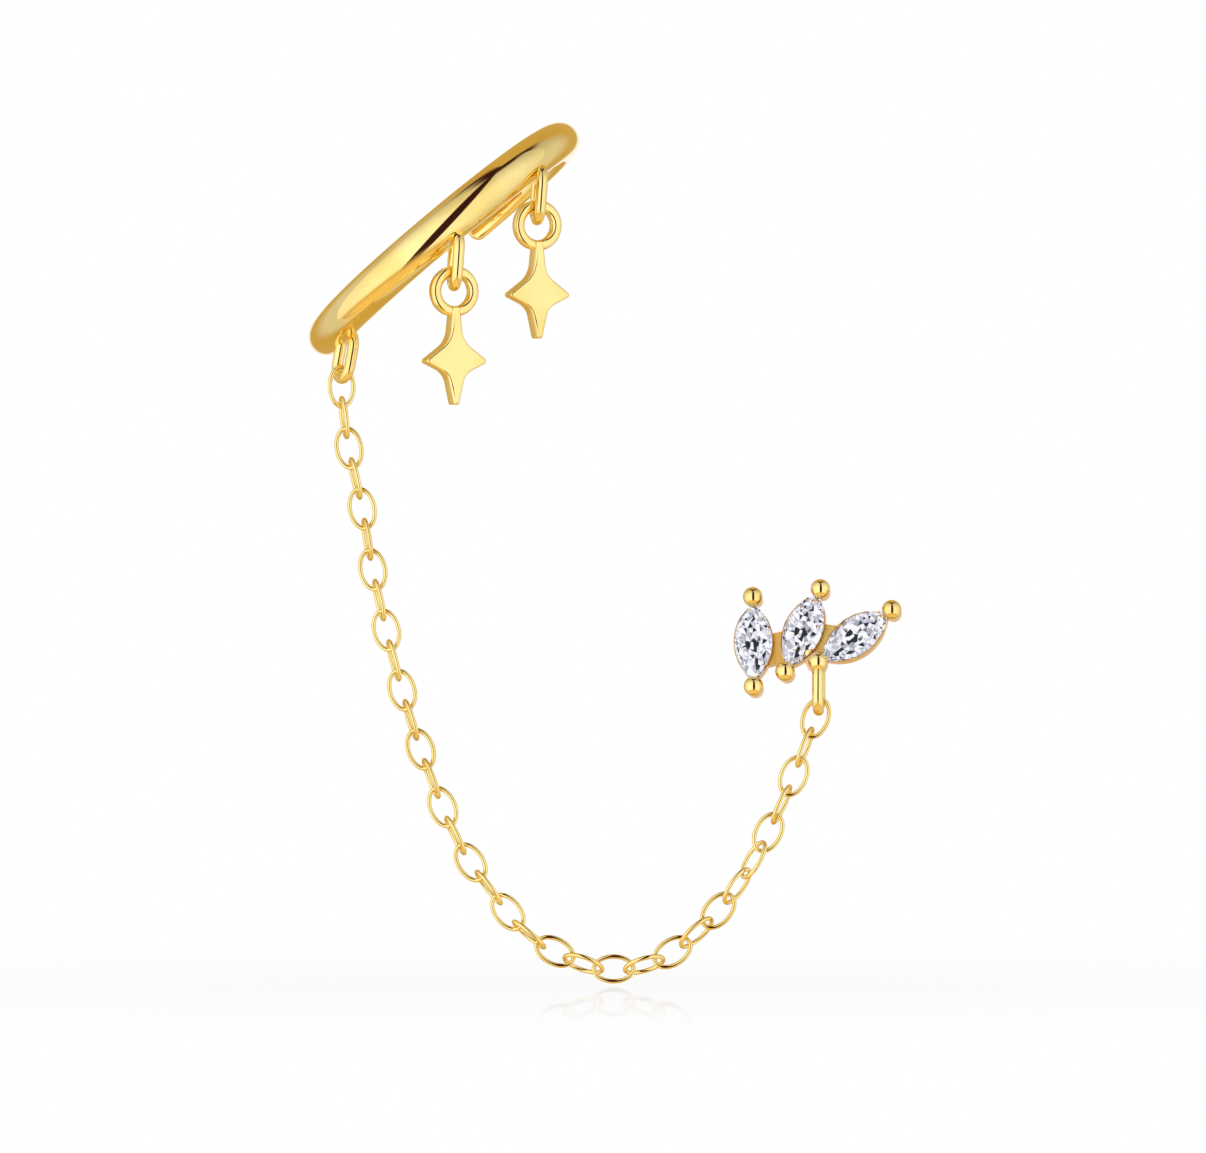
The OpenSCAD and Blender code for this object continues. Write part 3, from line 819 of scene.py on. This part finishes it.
def link_tree():
    """Geometry nodes that thread oval links along a hang, one for each loose point."""
    tree = bpy.data.node_groups.new("Linked chain", "GeometryNodeTree")
    for label, kind in (
        ("Geometry", "Geometry"),
        ("Link Count", "Int"),
        ("Half Length", "Float"),
        ("Half Width", "Float"),
        ("Wire Radius", "Float"),
        ("First Link At", "Float"),
        ("Route Steps", "Int"),
        ("Metal", "Material"),
    ):
        tree.interface.new_socket(label, in_out="INPUT", socket_type="NodeSocket" + kind)
    tree.interface.new_socket("Geometry", in_out="OUTPUT", socket_type="NodeSocketGeometry")
    given, out = tree.nodes.new("NodeGroupInput").outputs, tree.nodes.new("NodeGroupOutput")

    def made(output, kind, inputs=None, **settings):
        return add_node(tree, kind, inputs, **settings).outputs[output]

    def attribute(name, kind):
        node = "GeometryNodeInputNamedAttribute"
        return made("Attribute", node, {"Name": name}, data_type=kind)

    # The hang, and the distance along it of each link's middle
    hang = made("Curve", "GeometryNodeMeshToCurve", {"Mesh": given["Geometry"]})
    smooth = made(
        "Curve", "GeometryNodeCurveSplineType", {"Curve": hang}, spline_type="CATMULL_ROM"
    )
    route = made("Geometry", "GeometryNodeSetSplineResolution", {
        "Geometry": smooth, "Resolution": given["Route Steps"],
    })
    whole = made("Length", "GeometryNodeCurveLength", {"Curve": route})
    first = given["First Link At"]
    free = add_math(tree, "SUBTRACT", whole, add_math(tree, "MULTIPLY", first, 2))
    step = add_math(tree, "DIVIDE", free, add_math(tree, "SUBTRACT", given["Link Count"], 1))
    number = add_math(tree, "SUBTRACT", attribute("link", "INT"), 1)
    at = add_math(tree, "ADD", first, add_math(tree, "MULTIPLY", number, step))
    half_step = add_math(tree, "DIVIDE", step, 2)

    def sample(distance):
        inputs = {"Curves": route, "Length": distance}
        return made("Position", "GeometryNodeSampleCurve", inputs, mode="LENGTH")

    # Each link's place, and its turn: along the hang first, then its own roll
    ahead = made("Vector", "ShaderNodeVectorMath", {
        0: sample(add_math(tree, "ADD", at, half_step)),
        1: sample(add_math(tree, "SUBTRACT", at, half_step)),
    }, operation="SUBTRACT")
    split = add_node(tree, "ShaderNodeSeparateXYZ", {"Vector": ahead}).outputs
    slope = add_math(tree, "ARCTAN2", split["X"], split["Z"])
    whole_number_a = 2
    is_link = made("Result", "FunctionNodeCompare", {
        whole_number_a: attribute("link", "INT"),
    }, data_type="INT", operation="GREATER_THAN")
    points = made("Points", "GeometryNodeMeshToPoints", {
        "Mesh": given["Geometry"], "Selection": is_link, "Position": sample(at),
    })

    def turned(axis, value):
        parts = made("Vector", "ShaderNodeCombineXYZ", {axis: value})
        return made("Rotation", "FunctionNodeEulerToRotation", {"Euler": parts})

    roll = made("Rotation", "FunctionNodeRotateRotation", {
        "Rotation": turned("Y", slope),
        "Rotate By": turned("Z", attribute("roll", "FLOAT")),
    }, rotation_space="LOCAL")

    # One oval link of round wire
    oval_steps, wire_sides = 48, 12
    circle = made("Curve", "GeometryNodeCurvePrimitiveCircle", {
        "Resolution": oval_steps, "Radius": 1,
    })
    place = made("Position", "GeometryNodeInputPosition")
    apart = add_node(tree, "ShaderNodeSeparateXYZ", {"Vector": place}).outputs
    oval = made("Vector", "ShaderNodeCombineXYZ", {
        "X": add_math(tree, "MULTIPLY", apart["X"], given["Half Width"]),
        "Z": add_math(tree, "MULTIPLY", apart["Y"], given["Half Length"]),
    })
    bent = made("Geometry", "GeometryNodeSetPosition", {"Geometry": circle, "Position": oval})
    profile = made("Curve", "GeometryNodeCurvePrimitiveCircle", {
        "Resolution": wire_sides, "Radius": given["Wire Radius"],
    })
    wire = made("Mesh", "GeometryNodeCurveToMesh", {"Curve": bent, "Profile Curve": profile})

    threaded = made("Instances", "GeometryNodeInstanceOnPoints", {
        "Points": points, "Instance": wire, "Rotation": roll,
    })
    real = made("Geometry", "GeometryNodeRealizeInstances", {"Geometry": threaded})
    metal = made("Geometry", "GeometryNodeSetMaterial", {
        "Geometry": real, "Material": given["Metal"],
    })
    feed(tree, out.inputs["Geometry"], metal)
    return tree


def set_inputs(modifier, values):
    """Sets a modifier's inputs by the identifiers of the tree's named sockets."""
    for item in modifier.node_group.interface.items_tree:
        if item.item_type == "SOCKET" and item.in_out == "INPUT" and item.name in values:
            modifier[item.identifier] = values[item.name]


def build_chain(cuff, charm, chain, material):
    """The linked chain, from the cuff's bail to the stud's."""
    start = chain_start(cuff)
    mesh = bpy.data.meshes.new("linked_chain")
    hang = [start + Vector((x * MM, 0, z * MM)) for x, z in CHAIN_ROUTE]
    edges = [(k, k + 1) for k in range(len(hang) - 1)]
    mesh.from_pydata(hang + [start] * chain.count, edges, [])
    mesh.attributes.new("link", "INT", "POINT")
    mesh.attributes.new("roll", "FLOAT", "POINT")
    number, roll = mesh.attributes["link"], mesh.attributes["roll"]
    for k in range(1, chain.count + 1):
        stretch = [row for row in LINK_ROLL if row[0] <= k][-1]
        vertex = len(hang) + k - 1
        number.data[vertex].value = k
        roll.data[vertex].value = math.radians(stretch[1] if k % 2 else stretch[2])
    piece = bpy.data.objects.new("linked_chain", mesh)
    bpy.context.scene.collection.objects.link(piece)
    modifier = piece.modifiers.new("Linked chain", "NODES")
    modifier.node_group = link_tree()
    half_length = (chain.link_len - chain.wire) / 2
    set_inputs(modifier, {
        "Link Count": chain.count,
        "Half Length": half_length,
        "Half Width": (chain.link_w - chain.wire) / 2,
        "Wire Radius": chain.wire / 2,
        "First Link At": half_length - (chain.wire + cuff.wire) / 2 - charm.hang_gap,
        "Route Steps": chain.route_steps,
        "Metal": material,
    })
    bake_modifiers(piece)
    shade(piece.data)
    return piece


def build_stud(cuff, stone, stud):
    """The setting: open seats, bridges, six ball prongs, the chain's bail and the post."""
    to_part = stud_frame(cuff, stone, stud)
    a, b = stone.length / 2, stone.width / 2
    trim, tip_walls, notch_front, overcut = 0.02 * MM, 2, 0.2 * MM, 0.1 * MM
    body, cutters = bmesh.new(), bmesh.new()
    ball_r, prong_r = stud.ball_d / 2, stud.prong_d / 2
    neck = math.sqrt(ball_r**2 - prong_r**2)
    reach = a + stud.prong_out
    prong, ball_steps = [(0, -ball_r)], 24
    turn_end = math.acos(-neck / ball_r)
    for k in range(1, ball_steps + 1):
        t = turn_end * k / ball_steps
        prong.append((ball_r * math.sin(t), -ball_r * math.cos(t)))
    foot = stud.seat_back + stud.ball_front
    prong += [(prong_r, foot), (0, foot)]
    backwards = rotation("X", -math.pi / 2)
    for row in FAN:
        place = to_part @ fan_frame(stone, row)
        seat = marquise_outline(a - trim, b - trim)
        add_slab(body, seat, stud.seat_front, stud.seat_back, place)
        for end in (-1, 1):
            add_turned(body, prong, place @ shift(0, -stud.ball_front, end * reach) @ backwards)
        closed = row is FAN[1]
        inner = marquise_outline(a - trim - tip_walls * stud.seat_wall, b - trim - stud.seat_wall)
        depth = stud.seat_back + (-stud.seat_floor if closed else overcut)
        add_slab(cutters, inner, stud.seat_front - overcut, depth, place)
        notch = marquise_outline(a + stud.stone_gap, b + stud.stone_gap)
        add_slab(cutters, notch, -notch_front, stud.seat_front, place)
    for first, second, drop in BRIDGES:
        start = fan_place(stone, FAN[first])
        way = fan_place(stone, FAN[second]) - start
        place = (
            to_part
            @ Matrix.Translation(start + way / 2 - Vector((0, 0, drop * stone.length)))
            @ rotation("Y", -math.atan2(way.z, way.x))
        )
        w, h = way.length / 2, stud.bridge_h / 2
        bridge = [(-w, -h), (w, -h), (w, h), (-w, h)]
        add_slab(body, bridge, stud.seat_front, stud.seat_back, place)
    post_side, post_r = 0.13, stud.post_d / 2
    place = (
        to_part
        @ fan_frame(stone, FAN[1])
        @ shift(-post_side * stone.width, stud.seat_back - stud.seat_floor / 2, 0)
        @ backwards
    )
    bevel, straight = post_r / 2, stud.seat_floor / 2 + stud.post_len
    tip = straight + bevel
    post = [(0, 0), (post_r, 0), (post_r, straight), (post_r - bevel, tip), (0, tip)]
    add_turned(body, post, place)
    root = to_part @ Matrix.Translation(stud_bail_root(cuff, stone, stud))
    add_bail(body, cuff, cuff.chain_slot, cuff.chain_hang, root @ rotation("Z", -math.pi / 2))
    piece = new_piece("stud_setting_polished", body)
    subtract(piece, new_piece("seat_cutters", cutters))
    sharp_from, small_face = math.radians(32), 0.02 * MM * MM
    shade(piece.data)
    piece.data.set_sharp_from_angle(angle=sharp_from)
    inwards = to_part.inverted()
    # Faces behind the seats' front, in their recesses, take the second material: its darker
    # orange is painted shade, and it is also rougher
    for polygon in piece.data.polygons:
        behind = (inwards @ polygon.center).y > stud.seat_front - overcut / 2
        round_part = len(polygon.vertices) == 4 and polygon.area < small_face
        polygon.material_index = 1 if behind and not round_part else 0
    return piece


def stone_ring(stone, reach, front, places):
    """Facet corners at a share of the outline and a height in front of the girdle."""
    ring = []
    for side in (-1, 1):
        for f in places:
            x, z = marquise_point(stone.length / 2, stone.width / 2, f, side)
            ring.append((x * reach, -front, z * reach))
    return ring


def inside_outline(p, outline):
    """Whether a point lies inside a closed outline, by counting the edges to its right."""
    crossed = False
    for q, r in zip(outline, outline[1:] + outline[:1]):
        if (q.y > p.y) != (r.y > p.y):
            crossed ^= p.x < q.x + (p.y - q.y) * (r.x - q.x) / (r.y - q.y)
    return crossed


def facet_corners(a, b, fixed, flats, chance):
    """Random corners within an outline, well apart, and clear of the fixed ones."""
    tries, rim_share, tip_share = 3200, 0.9, 0.999
    clear_of_fixed, clear_of_others = 0.075 * MM, 0.13 * MM
    across, along = 1.7, 0.7  # facets come out longer along the stone than across it
    corners = []
    for _ in range(tries):
        z = chance.uniform(-a, a)
        place = math.asin(z / a * tip_share) / (math.pi / 2)
        wide = marquise_point(a, b, place, 1)[0] * rim_share
        p = Vector((chance.uniform(-wide, wide), z))
        if any((p - q).length < clear_of_fixed for q in fixed):
            continue
        if any(inside_outline(p, facet) for facet in flats):
            continue
        gaps = (Vector((across * (p.x - q.x), along * (p.y - q.y))) for q in corners)
        if all(gap.length >= clear_of_others for gap in gaps):
            corners.append(p)
    return corners


def add_brilliance(bm, stone, place):
    """A many-faceted reflector inside a stone: it stands for what its pavilion returns."""
    rim_steps, keel_share, tolerance = 26, 0.8, 1e-9
    rim_depth, flat_depth, roughness = 0.03 * MM, -0.05 * MM, 0.035 * MM
    a, b = stone.length / 2 * BRILLIANCE_SHARE, stone.width / 2 * BRILLIANCE_SHARE
    rim = [Vector(p) for p in marquise_outline(a, b, rim_steps)]
    flats = [[Vector(p) * MM for p in facet] for facet in DARK_FACETS]
    fixed = rim + [p for facet in flats for p in facet]
    chance = random.Random(FACET_SEED)
    corners = fixed + facet_corners(a, b, fixed, flats, chance)
    edges, start = [], len(rim)
    for facet in flats:
        n = len(facet)
        edges += [(start + k, start + (k + 1) % n) for k in range(n)]
        start += n
    points, _, faces = delaunay_2d_cdt(corners, edges, [], 0, tolerance)[:3]
    verts = []
    for k, p in enumerate(points):
        depth = rim_depth if k < len(rim) else flat_depth
        if k >= len(fixed):
            depth += chance.uniform(-roughness, roughness)
        verts.append(bm.verts.new(place @ Vector((p.x, depth, p.y))))
    made = [bm.faces.new([verts[k] for k in face]) for face in faces]
    keel = bm.verts.new(place @ Vector((0, stone.pavilion * keel_share, 0)))
    rim_edges = [edge for face in made for edge in face.edges if len(edge.link_faces) == 1]
    made += [bm.faces.new((*edge.verts, keel)) for edge in rim_edges]
    for face in made:
        face.material_index = 1
    bmesh.ops.recalc_face_normals(bm, faces=made)


def build_stone(name, cuff, stone, stud, row):
    """One marquise stone with table, crown, girdle and pavilion facets."""
    half = stone.girdle / 2
    front, back = half + stone.crown, half + stone.pavilion
    kite_height, main_share, main_depth, keel_share = 0.58, 0.5, 0.56, 0.12
    table_places, girdle_places = [-1, -0.5, 0, 0.5, 1], [k / 4 for k in range(-4, 5)]
    facet_places, keel_places = [-0.75, -0.25, 0.25, 0.75], [-1, 1]
    points = []
    for reach, height, places in (
        (stone.table, front, table_places),
        ((1 + stone.table) / 2, half + stone.crown * kite_height, facet_places),
        (1, half, girdle_places),
        (1, -half, girdle_places),
        (main_share, -half - stone.pavilion * main_depth, facet_places),
        (keel_share, -back, keel_places),
    ):
        points += stone_ring(stone, reach, height, places)
    place = stud_frame(cuff, stone, stud) @ fan_frame(stone, row)
    bm = bmesh.new()
    for p in points:
        bm.verts.new(place @ Vector(p))
    bmesh.ops.remove_doubles(bm, verts=bm.verts, dist=0.001 * MM)
    bmesh.ops.convex_hull(bm, input=bm.verts)
    inside = [vert for vert in bm.verts if not vert.link_faces]
    bmesh.ops.delete(bm, geom=inside, context="VERTS")
    bmesh.ops.recalc_face_normals(bm, faces=bm.faces)
    add_brilliance(bm, stone, place)
    return new_piece(name, bm, smooth=False)


# Stage

def light_panel(tree, azimuth, height, left, right, low, high):
    """Mask of a soft panel that fills a range of azimuth and height, in degrees."""
    side_soft, end_soft = 1.6, 7
    return product(
        tree,
        rise(tree, azimuth, left - side_soft, left + side_soft),
        without(tree, rise(tree, azimuth, right - side_soft, right + side_soft)),
        rise(tree, height, low - end_soft, low + end_soft),
        without(tree, rise(tree, height, high - end_soft, high + end_soft)),
    )


def metal_surround(tree, direction):
    """What the metal reflects: pale panels, warm below in front and behind all round."""
    x, y, z = add_node(tree, "ShaderNodeSeparateXYZ", {"Vector": direction}).outputs
    forward = add_math(tree, "MULTIPLY", y, -1)
    azimuth = add_math(tree, "DEGREES", add_math(tree, "ARCTAN2", x, forward))
    height = add_math(tree, "DEGREES", add_math(tree, "ARCSINE", z))
    aside = add_math(tree, "ABSOLUTE", azimuth)
    panels = 0
    for *edges, power in PANELS:
        lit = product(tree, light_panel(tree, azimuth, height, *edges), power)
        panels = add_math(tree, "MAXIMUM", panels, lit)
    for value, (start, end, loss) in ((height, DIM_UPWARDS), (aside, DIM_ASIDE)):
        dimmed = product(tree, rise(tree, value, start, end), loss)
        panels = product(tree, panels, without(tree, dimmed))
    seen = mix_colour(tree, panels, ROOM_LIGHT, WHITE, clamp_factor=False)
    below = product(
        tree,
        without(tree, rise(tree, height, *BELOW_HEIGHT)),
        rise(tree, forward, *BELOW_FORWARD),
    )
    seen = mix_colour(tree, below, seen, WARM_BOUNCE)
    level = product(
        tree,
        without(tree, rise(tree, add_math(tree, "ABSOLUTE", height), *LEVEL_HEIGHT)),
        rise(tree, forward, *LEVEL_FORWARD),
    )
    behind = product(tree, rise(tree, aside, *BEHIND), without(tree, level))
    seen = mix_colour(tree, behind, seen, BACK_BOUNCE)
    return mix_colour(tree, level, seen, WHITE)


def stone_surround(tree, direction):
    """What the stones see: a cloudy white tent with one dark opening."""
    cloud = add_node(tree, "ShaderNodeTexNoise", {
        "Vector": direction, "Scale": TENT_SCALE, "Detail": 1,
    })
    tent = mix_colour(tree, rise(tree, cloud.outputs["Fac"], *TENT_CLOUD), TENT_DIM, TENT_BRIGHT)
    towards = add_node(tree, "ShaderNodeVectorMath", {
        0: direction, 1: TENT_OPENING,
    }, operation="DOT_PRODUCT")
    edge = [math.cos(math.radians(a)) for a in OPENING_EDGE]
    return mix_colour(tree, rise(tree, towards.outputs["Value"], *edge), tent, OPENING_DARK)


def light_studio(context):
    """Soft studio light from large pale panels; the camera sees plain white behind all."""
    world = bpy.data.worlds.new("Soft studio")
    context.scene.world = world
    world.use_nodes = True
    tree = world.node_tree
    direction = tree.nodes.new("ShaderNodeTexCoord").outputs["Generated"]
    path = tree.nodes.new("ShaderNodeLightPath").outputs
    metal, stones = metal_surround(tree, direction), stone_surround(tree, direction)
    seen = mix_colour(tree, path["Is Transmission Ray"], metal, stones)
    seen = mix_colour(tree, path["Is Camera Ray"], seen, WHITE)
    feed(tree, tree.nodes["Background"].inputs["Color"], seen)


def floor_material(stage):
    """Plain white floor with a faint mirror image that fades away from the object.

    Only the camera sees it, so the metal reflects the studio panels alone.
    """
    material, tree, shader = new_material("Pale floor")
    tree.nodes.remove(shader)
    away = add_node(tree, "ShaderNodeVectorMath", {
        0: tree.nodes.new("ShaderNodeTexCoord").outputs["Object"],
        1: (stage.camera_x, stage.near_y, stage.floor_z),
    }, operation="DISTANCE")
    fade = without(tree, rise(tree, away.outputs["Value"], 0, stage.mirror_reach))
    plain = tree.nodes.new("ShaderNodeEmission")
    polished = add_node(tree, "ShaderNodeBsdfGlossy", {"Roughness": stage.mirror_haze})
    floor = add_node(tree, "ShaderNodeMixShader", {
        "Fac": product(tree, fade, stage.mirror),
        1: plain.outputs["Emission"],
        2: polished.outputs["BSDF"],
    })
    both = add_node(tree, "ShaderNodeMixShader", {
        "Fac": tree.nodes.new("ShaderNodeLightPath").outputs["Is Camera Ray"],
        1: tree.nodes.new("ShaderNodeBsdfTransparent").outputs["BSDF"],
        2: floor.outputs["Shader"],
    })
    feed(tree, tree.nodes["Material Output"].inputs["Surface"], both.outputs["Shader"])
    return material


def build_floor(stage):
    """One square face at the height that the object's lowest link touches."""
    half = stage.floor_side / 2
    bm = bmesh.new()
    corners = ((-half, -half), (half, -half), (half, half), (-half, half))
    bm.faces.new([bm.verts.new((x, y, stage.floor_z)) for x, y in corners])
    floor = new_piece("pale_floor", bm, smooth=False)
    floor.data.materials.append(floor_material(stage))
    return floor


def place_camera(context, stage):
    """A long lens, level and straight in front, as in the photo."""
    lens = bpy.data.cameras.new("Camera")
    lens.sensor_width = 36
    lens.lens = lens.sensor_width * stage.distance / stage.view_width
    lens.clip_start, lens.clip_end = 0.05, 20
    camera = bpy.data.objects.new("Camera", lens)
    camera.location = (stage.camera_x, stage.near_y - stage.distance, stage.camera_z)
    camera.rotation_euler = (math.pi / 2, 0, 0)
    context.scene.collection.objects.link(camera)
    context.scene.camera = camera


# Operators

class EARRING_OT_cuff(bpy.types.Operator):
    """Build the polished cuff with its three bails"""

    bl_idname = "earring.cuff"
    bl_label = "Ear cuff"

    def execute(self, context):
        scene = context.scene
        piece = build_cuff(scene.earring_cuff, scene.earring_charm)
        metal = gold_material(scene.earring_finish, "Cuff gold", line_depth=0.04)
        settle(piece, FIXED_BODY, "gold", [metal], "ear_cuff")
        return {"FINISHED"}


class EARRING_OT_charms(bpy.types.Operator):
    """Build the two star charms"""

    bl_idname = "earring.charms"
    bl_label = "Star charms"

    def execute(self, context):
        scene, cuff = context.scene, context.scene.earring_cuff
        metal = gold_material(scene.earring_finish, "Charm gold")
        for number, at in ((1, cuff.star_1_at), (2, cuff.star_2_at)):
            piece = build_charm(f"polished_star_{number}", cuff, scene.earring_charm, at)
            node = f"star_charm_{number}"
            settle(piece, node, "gold", [metal], node)
        return {"FINISHED"}


class EARRING_OT_chain(bpy.types.Operator):
    """Thread the links of the chain along its hang"""

    bl_idname = "earring.chain"
    bl_label = "Linked chain"

    def execute(self, context):
        scene, chain = context.scene, context.scene.earring_chain
        metal = gold_material(scene.earring_finish, "Chain gold")
        piece = build_chain(scene.earring_cuff, scene.earring_charm, chain, metal)
        links = [f"link_{k:02d}" for k in range(1, chain.count + 1)]
        settle(piece, FIXED_BODY, "gold", [metal], *links)
        return {"FINISHED"}


class EARRING_OT_stud(bpy.types.Operator):
    """Build the stud's setting with its ball prongs, bail and post"""

    bl_idname = "earring.stud"
    bl_label = "Stud setting"

    def execute(self, context):
        scene, finish = context.scene, context.scene.earring_finish
        piece = build_stud(scene.earring_cuff, scene.earring_stone, scene.earring_stud)
        metal = gold_material(finish, "Setting gold")
        # Gold for the seats' recesses: a darker orange colour as painted shade, with a rougher
        # finish and deeper polishing lines
        recess_shade_gold = metal_material(
            "Seat recess gold with painted shade", finish.gold_recess_shade, finish.gold_deep, finish.cast_haze, 0.5
        )
        settle(piece, FIXED_BODY, "gold", [metal, recess_shade_gold], "stud_setting")
        return {"FINISHED"}


class EARRING_OT_stones(bpy.types.Operator):
    """Cut and set the three marquise stones"""

    bl_idname = "earring.stones"
    bl_label = "Marquise stones"

    def execute(self, context):
        scene = context.scene
        cuff, stone, stud = scene.earring_cuff, scene.earring_stone, scene.earring_stud
        clear = stone_material(scene.earring_finish)
        silvery = brilliance_material(scene.earring_finish)
        for number, row in enumerate(FAN, 1):
            piece = build_stone(f"cut_stone_{number}", cuff, stone, stud, row)
            settle(piece, FIXED_BODY, "stone", [clear, silvery], f"stone_{number}")
        return {"FINISHED"}


class EARRING_OT_stage(bpy.types.Operator):
    """Lay the pale floor, light the studio and place the camera"""

    bl_idname = "earring.stage"
    bl_label = "Stage"

    def execute(self, context):
        stage = context.scene.earring_stage
        light_studio(context)
        context.scene.view_settings.view_transform = "Standard"
        build_floor(stage)
        place_camera(context, stage)
        return {"FINISHED"}


OPERATORS = (
    EARRING_OT_cuff,
    EARRING_OT_charms,
    EARRING_OT_chain,
    EARRING_OT_stud,
    EARRING_OT_stones,
    EARRING_OT_stage,
)


class EARRING_PT_panel(bpy.types.Panel):
    """Sizes and build buttons of the earring"""

    bl_idname = "EARRING_PT_panel"
    bl_label = "Ear chain earring"
    bl_space_type = "VIEW_3D"
    bl_region_type = "UI"
    bl_category = "Earring"

    def draw(self, context):
        for operator in OPERATORS:
            self.layout.operator(operator.bl_idname)
        for name, group in GROUPS.items():
            box = self.layout.box()
            box.label(text=group.__doc__)
            for prop in group.__annotations__:
                box.prop(getattr(context.scene, name), prop)


CLASSES = (*GROUPS.values(), *OPERATORS, EARRING_PT_panel)


def register():
    for cls in CLASSES:
        bpy.utils.register_class(cls)
    for name, group in GROUPS.items():
        setattr(bpy.types.Scene, name, PointerProperty(type=group))


def unregister():
    for name in GROUPS:
        delattr(bpy.types.Scene, name)
    for cls in reversed(CLASSES):
        bpy.utils.unregister_class(cls)


def main():
    register()
    bpy.ops.earring.cuff()
    bpy.ops.earring.charms()
    bpy.ops.earring.chain()
    bpy.ops.earring.stud()
    bpy.ops.earring.stones()
    bpy.ops.earring.stage()


if __name__ == "__main__":
    main()
